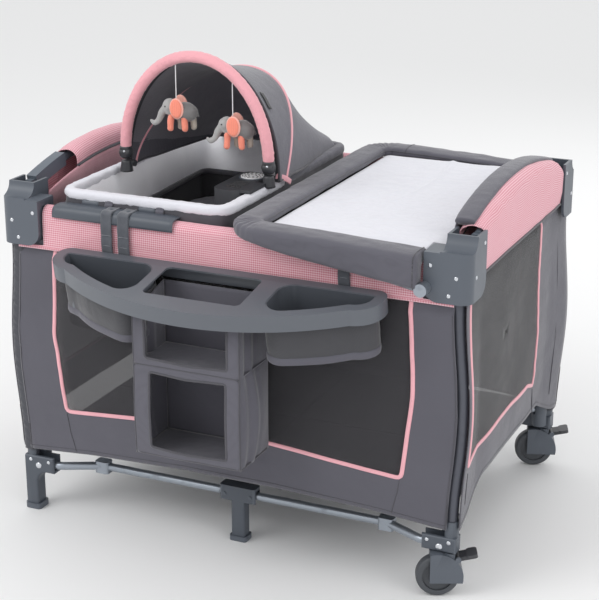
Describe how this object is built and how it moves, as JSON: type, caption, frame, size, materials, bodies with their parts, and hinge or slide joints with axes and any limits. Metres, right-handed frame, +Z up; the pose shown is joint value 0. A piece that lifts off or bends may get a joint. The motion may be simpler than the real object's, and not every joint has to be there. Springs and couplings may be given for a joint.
{
  "type": "folding playpen",
  "caption": "Rectangular folding playpen with mesh sides, hanging bassinet insert, hooded napper with toy bar, flip-up changing table, organizer and casters at one end.",
  "frame": {"origin": "on the floor, at the middle of the central hub's foot, under the centre of the four posts", "axes": "+X along the long side towards the end with the casters, +Y to the side away from the organizer, +Z up"},
  "size_m": [1.0668, 0.9632, 1.015],
  "materials": {
    "plastic": "moulded grey, fine satin",
    "post_steel": "powder coated grey tube",
    "rail_steel": "powder coated grey tube",
    "bar_steel": "silver powder coat",
    "wheel_plastic": "dark grey wheel",
    "wall_fabric": "grey mesh and woven polyester with pink piping",
    "floor_fabric": "woven polyester",
    "lining": "quilted lining",
    "mattress": "padded cover",
    "napper_fabric": "padded rim and mesh sides",
    "toy_bar_fabric": "padded sleeve",
    "canopy_fabric": "woven polyester with pink piping",
    "wire": "coated spring wire",
    "cord": "thin braided cord",
    "plush": "short plush",
    "unit_plastic": "satin moulded housing",
    "button_plastic": "translucent pad",
    "changer_steel": "silver tube",
    "changer_fabric": "padded woven cover",
    "changer_pad": "wipe-clean pad",
    "organizer_fabric": "woven polyester over board",
    "strap_fabric": "webbing and woven polyester"
  },
  "bodies": {
    "post_rl": {"corner_post_rl": "post_steel", "top_corner_rl": "plastic", "foot_rl": "plastic", "wall_left": "wall_fabric"},
    "post_fl": {"corner_post_fl": "post_steel", "top_corner_fl": "plastic", "foot_fl": "plastic", "wall_front": "wall_fabric"},
    "post_fr": {"corner_post_fr": "post_steel", "top_corner_fr": "plastic", "caster_housing_fr": "plastic", "wall_right": "wall_fabric"},
    "post_rr": {"corner_post_rr": "post_steel", "top_corner_rr": "plastic", "caster_housing_rr": "plastic", "wall_rear": "wall_fabric"},
    "hub": {"central_hub": "plastic", "floor_sheet": "floor_fabric"},
    "tube_fl": {"floor_tube_fl": "bar_steel"},
    "tube_fr": {"floor_tube_fr": "bar_steel"},
    "tube_rl": {"floor_tube_rl": "bar_steel"},
    "tube_rr": {"floor_tube_rr": "bar_steel"},
    "front_rail_left": {"front_rail_left": "rail_steel"},
    "left_rail_front": {"left_rail_front": "rail_steel"},
    "bar_fl": {"side_bar_fl": "bar_steel"},
    "front_rail_right": {"front_rail_right": "rail_steel"},
    "right_rail_front": {"right_rail_front": "rail_steel"},
    "bar_fr": {"side_bar_fr": "bar_steel"},
    "rear_rail_left": {"rear_rail_left": "rail_steel"},
    "left_rail_rear": {"left_rail_rear": "rail_steel"},
    "bar_rl": {"side_bar_rl": "bar_steel"},
    "rear_rail_right": {"rear_rail_right": "rail_steel"},
    "right_rail_rear": {"right_rail_rear": "rail_steel"},
    "bar_rr": {"side_bar_rr": "bar_steel"},
    "centre_foot_front": {"centre_foot_front": "plastic"},
    "centre_foot_rear": {"centre_foot_rear": "plastic"},
    "caster_fr": {"caster_fork_fr": "plastic"},
    "wheel_fr": {"caster_wheel_fr": "wheel_plastic"},
    "lever_fr": {"brake_lever_fr": "plastic"},
    "caster_rr": {"caster_fork_rr": "plastic"},
    "wheel_rr": {"caster_wheel_rr": "wheel_plastic"},
    "lever_rr": {"brake_lever_rr": "plastic"},
    "carrier": {"bassinet_insert": "lining", "insert_mattress": "mattress", "organizer_tray": "organizer_fabric", "organizer_fabric": "strap_fabric", "napper_tub": "napper_fabric", "napper_mounts": "plastic", "music_unit": "unit_plastic"},
    "music_button": {"music_button": "button_plastic"},
    "toy_bar": {"toy_bar": "toy_bar_fabric"},
    "toy_left": {"toy_left": "plush", "toy_cord_left": "cord"},
    "toy_right": {"toy_right": "plush", "toy_cord_right": "cord"},
    "canopy": {"canopy_bow": "wire", "canopy_cover": "canopy_fabric"},
    "changer": {"changer_frame": "changer_steel", "changer_rim": "changer_fabric", "changer_pad": "changer_pad"}
  },
  "joints": [
    {"name": "fold", "type": "hinge", "parent": "post_rl", "child": "tube_rl", "pos_m": [-0.47999, 0.31854, 0.15], "axis": [-0.553, -0.8332, 0], "range_deg": [0, 75], "deforming": ["wall_front", "wall_rear", "wall_left", "wall_right", "floor_sheet"]},
    {"name": "fold_hub", "type": "hinge", "parent": "tube_rl", "child": "hub", "pos_m": [-0.03999, 0.02654, 0.15], "axis": [0.553, 0.8332, 0], "range_deg": [0, 75]},
    {"name": "fold_tube_fl", "type": "hinge", "parent": "hub", "child": "tube_fl", "pos_m": [-0.03999, -0.02654, 0.15], "axis": [0.553, -0.8332, 0], "range_deg": [0, 75]},
    {"name": "fold_post_fl", "type": "hinge", "parent": "tube_fl", "child": "post_fl", "pos_m": [-0.47999, -0.31854, 0.15], "axis": [-0.553, 0.8332, 0], "range_deg": [0, 75]},
    {"name": "fold_tube_fr", "type": "hinge", "parent": "hub", "child": "tube_fr", "pos_m": [0.03999, -0.02654, 0.15], "axis": [0.553, 0.8332, 0], "range_deg": [0, 75]},
    {"name": "fold_post_fr", "type": "hinge", "parent": "tube_fr", "child": "post_fr", "pos_m": [0.47999, -0.31854, 0.15], "axis": [-0.553, -0.8332, 0], "range_deg": [0, 75]},
    {"name": "fold_tube_rr", "type": "hinge", "parent": "hub", "child": "tube_rr", "pos_m": [0.03999, 0.02654, 0.15], "axis": [-0.553, 0.8332, 0], "range_deg": [0, 75]},
    {"name": "fold_post_rr", "type": "hinge", "parent": "tube_rr", "child": "post_rr", "pos_m": [0.47999, 0.31854, 0.15], "axis": [0.553, -0.8332, 0], "range_deg": [0, 75]},
    {"name": "fold_front_rail_left", "type": "hinge", "parent": "post_fl", "child": "front_rail_left", "pos_m": [-0.44, -0.342, 0.696], "axis": [0, 1, 0], "range_deg": [0, 75]},
    {"name": "fold_left_rail_front", "type": "hinge", "parent": "post_fl", "child": "left_rail_front", "pos_m": [-0.49, -0.292, 0.728], "axis": [-1, 0, 0], "range_deg": [0, 75]},
    {"name": "fold_bar_fl", "type": "hinge", "parent": "post_fl", "child": "bar_fl", "pos_m": [-0.47, -0.342, 0.108], "axis": [0, -1, 0], "range_deg": [0, 75]},
    {"name": "fold_front_rail_right", "type": "hinge", "parent": "post_fr", "child": "front_rail_right", "pos_m": [0.44, -0.342, 0.696], "axis": [0, -1, 0], "range_deg": [0, 75]},
    {"name": "fold_right_rail_front", "type": "hinge", "parent": "post_fr", "child": "right_rail_front", "pos_m": [0.49, -0.292, 0.728], "axis": [-1, 0, 0], "range_deg": [0, 75]},
    {"name": "fold_bar_fr", "type": "hinge", "parent": "post_fr", "child": "bar_fr", "pos_m": [0.47, -0.342, 0.108], "axis": [0, 1, 0], "range_deg": [0, 75]},
    {"name": "fold_rear_rail_left", "type": "hinge", "parent": "post_rl", "child": "rear_rail_left", "pos_m": [-0.44, 0.342, 0.696], "axis": [0, 1, 0], "range_deg": [0, 75]},
    {"name": "fold_left_rail_rear", "type": "hinge", "parent": "post_rl", "child": "left_rail_rear", "pos_m": [-0.49, 0.292, 0.728], "axis": [1, 0, 0], "range_deg": [0, 75]},
    {"name": "fold_bar_rl", "type": "hinge", "parent": "post_rl", "child": "bar_rl", "pos_m": [-0.47, 0.342, 0.108], "axis": [0, -1, 0], "range_deg": [0, 75]},
    {"name": "fold_rear_rail_right", "type": "hinge", "parent": "post_rr", "child": "rear_rail_right", "pos_m": [0.44, 0.342, 0.696], "axis": [0, -1, 0], "range_deg": [0, 75]},
    {"name": "fold_right_rail_rear", "type": "hinge", "parent": "post_rr", "child": "right_rail_rear", "pos_m": [0.49, 0.292, 0.728], "axis": [1, 0, 0], "range_deg": [0, 75]},
    {"name": "fold_bar_rr", "type": "hinge", "parent": "post_rr", "child": "bar_rr", "pos_m": [0.47, 0.342, 0.108], "axis": [0, 1, 0], "range_deg": [0, 75]},
    {"name": "fold_foot_front", "type": "hinge", "parent": "bar_fl", "child": "centre_foot_front", "pos_m": [-0.03, -0.3, 0.108], "axis": [0, 1, 0], "range_deg": [0, 75]},
    {"name": "fold_foot_rear", "type": "hinge", "parent": "bar_rl", "child": "centre_foot_rear", "pos_m": [-0.03, 0.3, 0.108], "axis": [0, 1, 0], "range_deg": [0, 75]},
    {"name": "accessory_lift", "type": "slide", "parent": "hub", "child": "carrier", "axis": [0, 0, 1], "range_m": [0, 1.049]},
    {"name": "toy_bar_tilt", "type": "hinge", "parent": "carrier", "child": "toy_bar", "pos_m": [-0.1815, -0.127, 0.782], "axis": [1, 0, 0], "range_deg": [0, 60]},
    {"name": "canopy_fold", "type": "hinge", "parent": "carrier", "child": "canopy", "pos_m": [-0.1815, -0.099, 0.7513], "axis": [-1, 0, 0], "range_deg": [0, 65], "deforming": ["canopy_cover"]},
    {"name": "toy_left_swing", "type": "hinge", "parent": "toy_bar", "child": "toy_left", "pos_m": [-0.226, -0.127, 0.98418], "axis": [1, 0, 0], "range_deg": [-25, 25]},
    {"name": "toy_right_swing", "type": "hinge", "parent": "toy_bar", "child": "toy_right", "pos_m": [-0.092, -0.127, 0.95726], "axis": [1, 0, 0], "range_deg": [-25, 25]},
    {"name": "music_button_push", "type": "slide", "parent": "carrier", "child": "music_button", "axis": [0, 0, -1], "range_m": [0, 0.0015], "stiffness_N_per_m": 300, "springref_m": -0.002},
    {"name": "changer_flip", "type": "hinge", "parent": "carrier", "child": "changer", "pos_m": [0.43, 0, 0.652], "axis": [0, 1, 0], "range_deg": [0, 95], "deforming": ["changer_pad"]},
    {"name": "caster_fr_swivel", "type": "hinge", "parent": "post_fr", "child": "caster_fr", "pos_m": [0.49, -0.342, 0.096], "axis": [0, 0, 1], "continuous": true},
    {"name": "caster_fr_roll", "type": "hinge", "parent": "caster_fr", "child": "wheel_fr", "pos_m": [0.46625, -0.35258, 0.044], "axis": [0.4067, -0.9135, 0], "continuous": true},
    {"name": "brake_fr", "type": "hinge", "parent": "caster_fr", "child": "lever_fr", "pos_m": [0.50279, -0.33631, 0.083], "axis": [-0.4067, 0.9135, 0], "range_deg": [0, 16]},
    {"name": "caster_rr_swivel", "type": "hinge", "parent": "post_rr", "child": "caster_rr", "pos_m": [0.49, 0.342, 0.096], "axis": [0, 0, 1], "continuous": true},
    {"name": "caster_rr_roll", "type": "hinge", "parent": "caster_rr", "child": "wheel_rr", "pos_m": [0.46557, 0.33311, 0.044], "axis": [0.342, -0.9397, 0], "continuous": true},
    {"name": "brake_rr", "type": "hinge", "parent": "caster_rr", "child": "lever_rr", "pos_m": [0.50316, 0.34679, 0.083], "axis": [-0.342, 0.9397, 0], "range_deg": [0, 16]}
  ],
  "couplings": [
    {"joint": "fold_hub", "follows": "fold", "ratio": 1},
    {"joint": "fold_tube_fl", "follows": "fold", "ratio": 1},
    {"joint": "fold_post_fl", "follows": "fold", "ratio": 1},
    {"joint": "fold_tube_fr", "follows": "fold", "ratio": 1},
    {"joint": "fold_post_fr", "follows": "fold", "ratio": 1},
    {"joint": "fold_tube_rr", "follows": "fold", "ratio": 1},
    {"joint": "fold_post_rr", "follows": "fold", "ratio": 1},
    {"joint": "fold_front_rail_left", "follows": "fold", "ratio": 1},
    {"joint": "fold_left_rail_front", "follows": "fold", "ratio": 1},
    {"joint": "fold_bar_fl", "follows": "fold", "ratio": 1},
    {"joint": "fold_front_rail_right", "follows": "fold", "ratio": 1},
    {"joint": "fold_right_rail_front", "follows": "fold", "ratio": 1},
    {"joint": "fold_bar_fr", "follows": "fold", "ratio": 1},
    {"joint": "fold_rear_rail_left", "follows": "fold", "ratio": 1},
    {"joint": "fold_left_rail_rear", "follows": "fold", "ratio": 1},
    {"joint": "fold_bar_rl", "follows": "fold", "ratio": 1},
    {"joint": "fold_rear_rail_right", "follows": "fold", "ratio": 1},
    {"joint": "fold_right_rail_rear", "follows": "fold", "ratio": 1},
    {"joint": "fold_bar_rr", "follows": "fold", "ratio": 1},
    {"joint": "fold_foot_front", "follows": "fold", "ratio": 1},
    {"joint": "fold_foot_rear", "follows": "fold", "ratio": 1},
    {"joint": "accessory_lift", "follows": "fold", "m_per_rad": 0.8}
  ]
}
